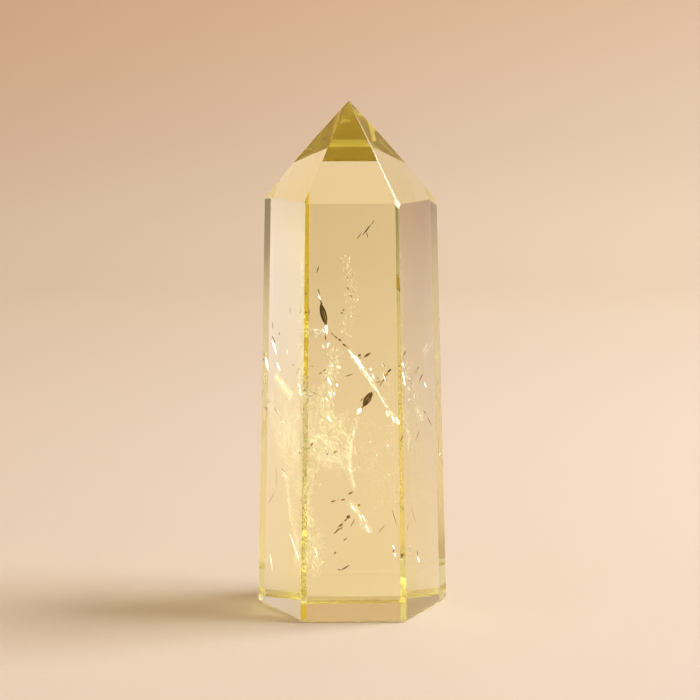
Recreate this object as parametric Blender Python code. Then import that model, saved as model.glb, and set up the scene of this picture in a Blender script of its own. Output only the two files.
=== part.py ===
"""A polished citrine point: a tapering six-sided tower, ground flat below and cut to a tip above.

The stone is one solid. It is made the way a lapidary makes it: an oversized block is ground
against one flat plane after another until only the faceted crystal is left.
Metres, +Z up. The stone stands on its base at z = 0, centred on the origin, with its
broadest side facing -Y.
"""

import math

import bmesh
import bpy
from mathutils import Matrix, Vector

MM = 0.001

# Driving dimensions -----------------------------------------------------------------------

POINT_HEIGHT = 80.0 * MM
TIP_OFFSET_X = -0.6 * MM
TIP_OFFSET_Y = -1.1 * MM

# The tower's sides, anticlockwise from the front: the compass bearing that the side faces
# (0 is -Y, 90 is +X), its distance from the axis at the base, and how far it leans inwards.
TOWER_SIDES = {
    "front": {"bearing": 1.5, "distance": 12.10 * MM, "lean": 0.4},
    "front_right": {"bearing": 67.0, "distance": 12.35 * MM, "lean": 1.3},
    "back_right": {"bearing": 133.0, "distance": 13.75 * MM, "lean": 1.6},
    "back": {"bearing": 181.5, "distance": 11.90 * MM, "lean": 1.3},
    "back_left": {"bearing": 234.0, "distance": 13.10 * MM, "lean": 1.3},
    "front_left": {"bearing": 297.0, "distance": 12.80 * MM, "lean": 0.9},
}

# The facets of the tip all pass through the tip itself. The pitch is how far a facet's
# outward direction points up from level.
TIP_FACETS = {
    "front": {"bearing": 1.5, "pitch": 34.5},
    "front_right": {"bearing": 66.5, "pitch": 35.5},
    "back_right": {"bearing": 131.0, "pitch": 39.0},
    "back": {"bearing": 181.5, "pitch": 40.0},
    "back_left": {"bearing": 233.5, "pitch": 37.5},
    "front_left": {"bearing": 297.0, "pitch": 35.5},
}

BASE_BEVEL = 0.60 * MM
ARRIS_WIDTH = 0.16 * MM
SMALLEST_EDGE = 0.02 * MM
BLOCK_SIDE = 3.0 * POINT_HEIGHT

CITRINE_COLOUR = (0.80, 0.66, 0.27, 1.0)
CITRINE_IOR = 1.55
POLISH_ROUGHNESS = 0.02


# Grinding ---------------------------------------------------------------------------------

def facing(bearing, pitch):
    """The unit direction for a compass bearing and a pitch above level, both in degrees."""
    around = math.radians(bearing)
    up = math.radians(pitch)
    level = math.cos(up)
    return Vector((math.sin(around) * level, -math.cos(around) * level, math.sin(up)))


def rough_block():
    """An oversized block that stands on z = 0."""
    block = bmesh.new()
    raised = Matrix.Translation((0.0, 0.0, BLOCK_SIDE / 2))
    bmesh.ops.create_cube(block, size=BLOCK_SIDE, matrix=raised)
    return block


def grind(block, point, outward):
    """Grind away everything beyond the plane through the point, and leave a flat facet."""
    everything = block.verts[:] + block.edges[:] + block.faces[:]
    bmesh.ops.bisect_plane(
        block,
        geom=everything,
        dist=1e-9,
        plane_co=point,
        plane_no=outward,
        clear_outer=True,
    )
    rim = [edge for edge in block.edges if edge.is_boundary]
    if rim:
        bmesh.ops.contextual_create(block, geom=rim)


def side_point(side):
    """The foot of a side: the point of its plane at the base nearest the axis."""
    return facing(side["bearing"], 0.0) * side["distance"]


def grind_tower(block):
    """Grind the six leaning sides."""
    for side in TOWER_SIDES.values():
        grind(block, side_point(side), facing(side["bearing"], side["lean"]))


def grind_tip(block):
    """Grind the six facets that meet at the tip."""
    tip = Vector((TIP_OFFSET_X, TIP_OFFSET_Y, POINT_HEIGHT))
    for facet in TIP_FACETS.values():
        grind(block, tip, facing(facet["bearing"], facet["pitch"]))


def grind_base_bevel(block):
    """Grind a narrow bevel at 45 degrees below each side, so that the base doesn't chip."""
    for side in TOWER_SIDES.values():
        lift = Vector((0.0, 0.0, BASE_BEVEL))
        grind(block, side_point(side) + lift, facing(side["bearing"], -45.0))


def soften_arrises(block):
    """Dub every sharp arris with a narrow flat that leans half way between its two facets."""
    block.normal_update()
    arrises = []
    for edge in block.edges:
        if edge.calc_length() < ARRIS_WIDTH:
            continue
        first, second = edge.link_faces
        outward = (first.normal + second.normal).normalized()
        opening = first.normal.angle(second.normal)
        middle = (edge.verts[0].co + edge.verts[1].co) / 2
        arrises.append((middle, outward, opening))
    for middle, outward, opening in arrises:
        depth = ARRIS_WIDTH / 2 * math.tan(opening / 2)
        grind(block, middle - outward * depth, outward)


def centre_on_axis(block):
    """Move the stone sideways so that the middle of its outline stands on the origin."""
    xs = [vertex.co.x for vertex in block.verts]
    ys = [vertex.co.y for vertex in block.verts]
    middle = Vector(((min(xs) + max(xs)) / 2, (min(ys) + max(ys)) / 2, 0.0))
    bmesh.ops.translate(block, verts=block.verts, vec=-middle)


# The part ---------------------------------------------------------------------------------

def clear_scene():
    for thing in list(bpy.data.objects):
        bpy.data.objects.remove(thing, do_unlink=True)


def citrine():
    """Clear yellow quartz with a glassy polish."""
    material = bpy.data.materials.new("polished_citrine")
    material.use_nodes = True
    surface = material.node_tree.nodes["Principled BSDF"]
    surface.inputs["Base Color"].default_value = CITRINE_COLOUR
    surface.inputs["Metallic"].default_value = 0.0
    surface.inputs["Roughness"].default_value = POLISH_ROUGHNESS
    surface.inputs["IOR"].default_value = CITRINE_IOR
    surface.inputs["Transmission Weight"].default_value = 1.0
    return material


def crystal_point():
    """The whole stone, as one closed solid."""
    block = rough_block()
    grind_tower(block)
    grind_tip(block)
    grind_base_bevel(block)
    soften_arrises(block)
    bmesh.ops.remove_doubles(block, verts=block.verts, dist=SMALLEST_EDGE)
    centre_on_axis(block)
    bmesh.ops.recalc_face_normals(block, faces=block.faces)
    mesh = bpy.data.meshes.new("crystal_point")
    block.to_mesh(mesh)
    block.free()
    mesh.materials.append(citrine())
    stone = bpy.data.objects.new("crystal_point", mesh)
    bpy.context.scene.collection.objects.link(stone)
    return stone


clear_scene()
crystal_point()
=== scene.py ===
"""A polished citrine point with the fractures and wisps sealed in it, on a pale studio sweep.

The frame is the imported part's own, in metres: the stone stands on z = 0 and its broad front
side faces -Y. The lists of flaws give depths and sizes in millimetres, as they say.
"""

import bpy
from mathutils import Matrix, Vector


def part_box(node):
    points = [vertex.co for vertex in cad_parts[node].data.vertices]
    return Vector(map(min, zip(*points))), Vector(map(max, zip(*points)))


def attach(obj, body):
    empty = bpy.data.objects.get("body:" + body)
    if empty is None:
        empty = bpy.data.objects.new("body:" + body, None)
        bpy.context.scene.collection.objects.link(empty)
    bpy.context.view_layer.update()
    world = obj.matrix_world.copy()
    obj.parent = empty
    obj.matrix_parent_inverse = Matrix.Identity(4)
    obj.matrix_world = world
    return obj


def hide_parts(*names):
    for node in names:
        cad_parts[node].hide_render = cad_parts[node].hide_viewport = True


bl_info = {
    "name": "Citrine Point",
    "version": (1, 0, 0),
    "blender": (4, 5, 0),
    "location": "3D View > Sidebar > Citrine",
    "description": "Cuts a clear citrine point and seals its fractures inside it",
    "category": "Add Mesh",
}

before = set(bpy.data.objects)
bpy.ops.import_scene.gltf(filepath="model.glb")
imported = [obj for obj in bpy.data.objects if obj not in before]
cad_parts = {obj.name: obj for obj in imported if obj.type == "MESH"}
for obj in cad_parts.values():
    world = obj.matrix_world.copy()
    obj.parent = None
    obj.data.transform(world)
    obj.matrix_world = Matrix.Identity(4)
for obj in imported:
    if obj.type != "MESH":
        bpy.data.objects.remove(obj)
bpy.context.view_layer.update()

import math

import bmesh
import bpy
from bpy.props import FloatProperty, FloatVectorProperty, IntProperty, PointerProperty
from mathutils import Euler, Matrix, Vector

MM = 0.001
NODE = "crystal_point"
STONE_LOW, STONE_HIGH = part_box(NODE)
STONE_HEIGHT = STONE_HIGH.z - STONE_LOW.z


# Colours and nodes ------------------------------------------------------------------------

def linear(hex_colour):
    """The linear RGB of an sRGB hex colour."""
    channels = []
    for start in (0, 2, 4):
        value = int(hex_colour[start:start + 2], 16) / 255
        channels.append(value / 12.92 if value <= 0.04045 else ((value + 0.055) / 1.055) ** 2.4)
    return tuple(channels)


def add_node(tree, kind, settings=None, inputs=None, links=None):
    """Add a node, set its properties and sockets, and link its inputs from other sockets."""
    node = tree.nodes.new(kind)
    for name, value in (settings or {}).items():
        setattr(node, name, value)
    for name, value in (inputs or {}).items():
        node.inputs[name].default_value = value
    for name, socket in (links or {}).items():
        tree.links.new(socket, node.inputs[name])
    return node


def shade_across(tree, value, start, end, under, over):
    """Pass smoothly from one colour to another as a value goes from start to end."""
    share = add_node(tree, "ShaderNodeMapRange", {"interpolation_type": "SMOOTHSTEP"}, inputs={
        "From Min": start, "From Max": end,
    }, links={"Value": value})
    mix = add_node(tree, "ShaderNodeMix", {"data_type": "RGBA"}, links={
        "Factor": share.outputs["Result"],
    })
    for name, colour in (("A", under), ("B", over)):
        if isinstance(colour, str):
            mix.inputs[name].default_value = (*linear(colour), 1.0)
        else:
            tree.links.new(colour, mix.inputs[name])
    return mix.outputs["Result"]


def new_material(name):
    """A material with an empty node tree."""
    material = bpy.data.materials.new(name)
    material.use_nodes = True
    material.node_tree.nodes.clear()
    return material


# Settings ---------------------------------------------------------------------------------

class StoneSettings(bpy.types.PropertyGroup):
    """Sizes and colour of the clear stone."""

    arris_radius: FloatProperty(
        name="Arris radius", description="How round the polished edges are",
        default=0.12 * MM, min=0.0, unit="LENGTH",
    )
    crown: FloatProperty(
        name="Crown", description="How far the sides of the tip stand proud of flat",
        default=0.36 * MM, min=0.0, unit="LENGTH",
    )
    wear: FloatProperty(
        name="Arris wear", description="How deep the tip's front right arris is rubbed at its foot",
        default=0.085 * MM, min=0.0, unit="LENGTH",
    )
    corner_wear: FloatProperty(
        name="Corner wear", description="How deep the corner at the foot of that arris is blunted",
        default=0.32 * MM, min=0.0, unit="LENGTH",
    )
    ground_roughness: FloatProperty(
        name="Ground roughness", description="Of the base bevels, ground but not polished",
        default=0.45, min=0.0, max=1.0,
    )
    refraction: FloatProperty(
        name="Refractive index", description="Quartz bends light by this much",
        default=1.547, min=1.0, max=2.0,
    )
    depth_of_colour: FloatProperty(
        name="Depth of colour",
        description="How strongly the stone takes up the light that it doesn't pass, per metre",
        default=25.0, min=0.0,
    )
    passed_colour: FloatVectorProperty(
        name="Passed colour", description="The light that the stone lets through",
        subtype="COLOR", default=(0.985, 0.945, 0.28),
    )
    skin_colour: FloatVectorProperty(
        name="Skin colour",
        description="What is left of the light once the first few millimetres have taken the violet",
        subtype="COLOR", default=(0.98, 0.95, 0.92),
    )


class StageSettings(bpy.types.PropertyGroup):
    """The sweep, the lights and the camera."""

    camera_distance: FloatProperty(
        name="Camera distance", description="From the camera to the stone's axis",
        default=362.0 * MM, unit="LENGTH",
    )
    camera_height: FloatProperty(
        name="Camera height", description="Above the surface the stone stands on",
        default=84.0 * MM, unit="LENGTH",
    )
    camera_aside: FloatProperty(
        name="Camera aside", description="How far the camera stands to the right of the axis",
        default=-0.42 * MM, unit="LENGTH",
    )
    camera_tilt: FloatProperty(
        name="Camera tilt", description="How far the camera looks down from level",
        default=math.radians(6.78), subtype="ANGLE",
    )
    lens: FloatProperty(
        name="Lens", description="The camera's focal length in millimetres", default=119.1,
    )
    key_place: FloatVectorProperty(
        name="Key light", description="Where the key light stands",
        subtype="XYZ", unit="LENGTH", default=(0.69, 0.06, 0.72),
    )


class SealedSettings(bpy.types.PropertyGroup):
    """Sizes of the flakes and threads sealed in the stone."""

    film_thickness: FloatProperty(
        name="Film thickness", description="Of a flake at its middle",
        default=0.03 * MM, min=0.0, unit="LENGTH",
    )
    crinkle: FloatProperty(
        name="Crinkle", description="From the hollows to the crests of a flake's skin",
        default=0.09 * MM, min=0.0, unit="LENGTH",
    )
    crinkle_size: FloatProperty(
        name="Crinkle size", description="From one crinkle to the next",
        default=0.7 * MM, min=0.01 * MM, unit="LENGTH",
    )
    thread_width: FloatProperty(
        name="Thread width", description="Of the broadest threads at their middle",
        default=0.06 * MM, min=0.0, unit="LENGTH",
    )
    thread_scatter: FloatProperty(
        name="Thread scatter", description="How far threads stray from the sheet of their veil",
        default=0.2 * MM, min=0.0, unit="LENGTH",
    )
    thread_tilt: FloatProperty(
        name="Thread tilt", description="How far threads turn from where they would glint",
        default=0.45, min=0.0,
    )
    cover: FloatProperty(
        name="Cover", description="Clear quartz kept over what is sealed in, before threads scatter",
        default=0.5 * MM, min=0.0, unit="LENGTH",
    )
    seed: IntProperty(name="Seed", description="Changes how the threads fall", default=4)


# The stone --------------------------------------------------------------------------------

ON_PLANE = 1e-9


def grind(block, point, outward, facet_number):
    """Grind away everything beyond a plane and number the new facet."""
    numbers = block.faces.layers.int["facet"]
    everything = block.verts[:] + block.edges[:] + block.faces[:]
    bmesh.ops.bisect_plane(
        block, geom=everything, dist=ON_PLANE, plane_co=point, plane_no=outward, clear_outer=True,
    )
    rim = [edge for edge in block.edges if edge.is_boundary]
    if rim:
        made = bmesh.ops.contextual_create(block, geom=rim)
        for face in made["faces"]:
            face[numbers] = facet_number
            face.smooth = True


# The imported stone's triangles are welded, and those that turn no further than this are one
# facet. Facets narrower than this are its dubbed arrises.
WELD = 0.001 * MM
SAME_FACET = math.radians(0.6)
NARROWEST_FACET = 0.4 * MM


def broad_facets(node):
    """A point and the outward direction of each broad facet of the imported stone."""
    copy = bmesh.new()
    copy.from_mesh(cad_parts[node].data)
    bmesh.ops.remove_doubles(copy, verts=copy.verts, dist=WELD)
    bmesh.ops.dissolve_limit(
        copy, angle_limit=SAME_FACET, verts=copy.verts, edges=copy.edges,
    )
    facets = []
    for face in copy.faces:
        longest = max(edge.calc_length() for edge in face.edges)
        if face.calc_area() / longest > NARROWEST_FACET:
            facets.append((face.calc_center_median(), face.normal.copy()))
    copy.free()
    return facets


# Which way the worn arris and the blunted corner at its foot face, and how much of the wear
# at the arris's foot is left at its top.
WORN_ARRIS_WAY = Vector((0.43, -0.64, 0.64))
WORN_CORNER_WAY = Vector((0.55, -0.70, 0.45))
WEAR_AT_TOP = 0.12


def wear_arris(block, settings, first_number):
    """Rub the front right arris of the tip flat, wider towards its foot, and blunt the corner there."""
    block.normal_update()

    def facing_out(edge):
        first, second = edge.link_faces
        return (first.normal + second.normal).normalized()

    arris = max(block.edges, key=lambda edge: facing_out(edge).dot(WORN_ARRIS_WAY))
    outward = facing_out(arris)
    foot, top = sorted((vertex.co.copy() for vertex in arris.verts), key=lambda place: place.z)
    low = foot - outward * settings.wear
    high = top - outward * settings.wear * WEAR_AT_TOP
    flat = (high - low).cross(outward.cross(top - foot)).normalized()
    if flat.dot(outward) < 0:
        flat.negate()
    grind(block, low, flat, first_number)
    corner = WORN_CORNER_WAY.normalized()
    grind(block, foot - corner * settings.corner_wear, corner, first_number + 1)
    return first_number + 2


ARRIS_STEPS = 4
SHORTEST_ARRIS_IN_RADII = 4


def round_arrises(block, radius, first_number):
    """Replace each sharp arris with narrow facets that are tangent to a small cylinder."""
    block.normal_update()
    cuts = []
    for edge in block.edges:
        if edge.calc_length() < SHORTEST_ARRIS_IN_RADII * radius:
            continue
        first, second = (face.normal.copy() for face in edge.link_faces)
        opening = first.angle(second)
        bisector = (first + second).normalized()
        middle = (edge.verts[0].co + edge.verts[1].co) / 2
        centre = middle - bisector * (radius / math.cos(opening / 2))
        for step in range(1, ARRIS_STEPS + 1):
            outward = first.slerp(second, step / (ARRIS_STEPS + 1)).normalized()
            cuts.append((centre + outward * radius, outward))
    for number, (point, outward) in enumerate(cuts):
        grind(block, point, outward, first_number + number)


TIP_SCORES = 14


def score_tip(block, shoulder, top):
    """Cut level lines round the tip, so that its sides can be given a crown."""
    for step in range(1, TIP_SCORES + 1):
        level = shoulder + (top - shoulder) * step / (TIP_SCORES + 1)
        everything = block.verts[:] + block.edges[:] + block.faces[:]
        bmesh.ops.bisect_plane(
            block, geom=everything, dist=ON_PLANE,
            plane_co=(0.0, 0.0, level), plane_no=(0.0, 0.0, 1.0),
        )


AT_AXIS = 0.01 * MM


def crown_tip(block, shoulder, top, rise):
    """Swell the two flanks of the tip, most half way up and not at all at the shoulder or top."""
    axis = max(block.verts, key=lambda vertex: vertex.co.z).co.copy()
    for vertex in block.verts:
        share = (vertex.co.z - shoulder) / (top - shoulder)
        if not 0.0 < share < 1.0:
            continue
        outward = Vector((vertex.co.x - axis.x, vertex.co.y - axis.y, 0.0))
        if outward.length < AT_AXIS:
            continue
        flank = (outward.x / outward.length) ** 2
        swell = rise * 4 * share * (1 - share) * flank
        vertex.co += outward.normalized() * swell


# Where facets meet, a broad one outweighs the arris, and arris facets that turn further from
# each other than this aren't blended.
BROAD_WEIGHT = 1000
SHARP_TURN = math.radians(40)


def polish_normals(mesh, broad_count):
    """Shade broad facets flat and arrises round, as a lap leaves them."""
    work = bmesh.new()
    work.from_mesh(mesh)
    work.normal_update()
    numbers = work.faces.layers.int["facet"]
    normals = []
    for face in work.faces:
        for loop in face.loops:
            vertex = loop.vert
            if face[numbers] < broad_count:
                same = [other.normal for other in vertex.link_faces if other[numbers] == face[numbers]]
                normals.append(sum(same, Vector()).normalized())
                continue
            blend = face.normal.copy()
            for edge in (loop.edge, loop.link_loop_prev.edge):
                for other in edge.link_faces:
                    if other is face:
                        continue
                    if other[numbers] < broad_count:
                        blend += other.normal * BROAD_WEIGHT
                    elif other.normal.angle(face.normal) < SHARP_TURN:
                        blend += other.normal
            normals.append(blend.normalized())
    work.free()
    mesh.normals_split_custom_set(normals)


def mark_ground(mesh, ground_facets):
    """Mark the faces that were ground on a fine wheel and never polished."""
    numbers = [item.value for item in mesh.attributes["facet"].data]
    marks = [1.0 if number in ground_facets else 0.0 for number in numbers]
    if not any(marks):
        raise RuntimeError("No face of the stone is ground")
    ground = mesh.attributes.new("ground", "FLOAT", "FACE")
    for item, mark in zip(ground.data, marks):
        item.value = mark


def clear_citrine(settings):
    """Citrine, a yellow quartz, lapped and polished: glassy, warm in its depth, silky where ground."""
    material = new_material("polished_citrine")
    tree = material.node_tree
    ground = add_node(tree, "ShaderNodeAttribute", {"attribute_name": "ground"})
    matt = add_node(tree, "ShaderNodeMath", {"operation": "MULTIPLY"}, {1: settings.ground_roughness}, {
        0: ground.outputs["Fac"],
    })
    surface = add_node(tree, "ShaderNodeBsdfPrincipled", inputs={
        "Base Color": (*settings.skin_colour, 1.0), "IOR": settings.refraction,
        "Transmission Weight": 1.0,
    }, links={"Roughness": matt.outputs["Value"]})
    depth = add_node(tree, "ShaderNodeVolumeAbsorption", inputs={
        "Color": (*settings.passed_colour, 1.0), "Density": settings.depth_of_colour,
    })
    add_node(tree, "ShaderNodeOutputMaterial", links={
        "Surface": surface.outputs["BSDF"], "Volume": depth.outputs["Volume"],
    })
    return material


BLOCK_SIDE = 1.0
BLOCK_MIDDLE = 0.4
SMALLEST_EDGE = 0.004 * MM

# How far up the ways of the tip's facets and of the base bevels point: 1 is straight up.
TIP_UPWARD = (0.2, 0.95)
BEVEL_UPWARD = (-0.9, -0.5)
# Corners higher than this share of the tip facets' lowest middle belong to the tip.
TIP_CORNER_SHARE = 0.7


class CITRINE_OT_stone(bpy.types.Operator):
    """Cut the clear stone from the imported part's own facets"""

    bl_idname = "citrine.stone"
    bl_label = "Cut Stone"

    def execute(self, context):
        settings = context.scene.citrine_stone
        facets = broad_facets(NODE)
        block = bmesh.new()
        block.faces.layers.int.new("facet")
        raised = Matrix.Translation((0, 0, BLOCK_MIDDLE))
        bmesh.ops.create_cube(block, size=BLOCK_SIDE, matrix=raised)
        for number, (point, outward) in enumerate(facets):
            grind(block, point, outward, number)
        least, most = TIP_UPWARD
        middles = [point.z for point, way in facets if least < way.z < most]
        floor = min(middles) * TIP_CORNER_SHARE
        corners = [vertex.co.z for vertex in block.verts if vertex.co.z > floor]
        shoulder = min(corners)
        top = max(corners)
        flat_count = wear_arris(block, settings, len(facets))
        round_arrises(block, settings.arris_radius, flat_count)
        bmesh.ops.remove_doubles(block, verts=block.verts, dist=SMALLEST_EDGE)
        score_tip(block, shoulder, top)
        crown_tip(block, shoulder, top, settings.crown)
        bmesh.ops.recalc_face_normals(block, faces=block.faces)
        mesh = bpy.data.meshes.new("polished_citrine")
        block.to_mesh(mesh)
        block.free()
        polish_normals(mesh, flat_count)
        least, most = BEVEL_UPWARD
        ways = enumerate(way for point, way in facets)
        mark_ground(mesh, {number for number, way in ways if least < way.z < most})
        mesh.materials.append(clear_citrine(settings))
        stone = bpy.data.objects.new("polished_citrine", mesh)
        context.scene.collection.objects.link(stone)
        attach(stone, "root")
        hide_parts(NODE)
        return {"FINISHED"}


# What is sealed in the stone --------------------------------------------------------------

PICTURE_SIDE = 700
SENSOR_WIDTH = 36.0
CLEAR = "clear"
# Flakes painted nearly black: a painted dark reflection, where a crack would mirror dark surroundings.
DARK_FLAKE = "stained"
BROWN = "brown"
GOLDEN = "golden"
PALE = "pale"
DARK = "dark"

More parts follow.
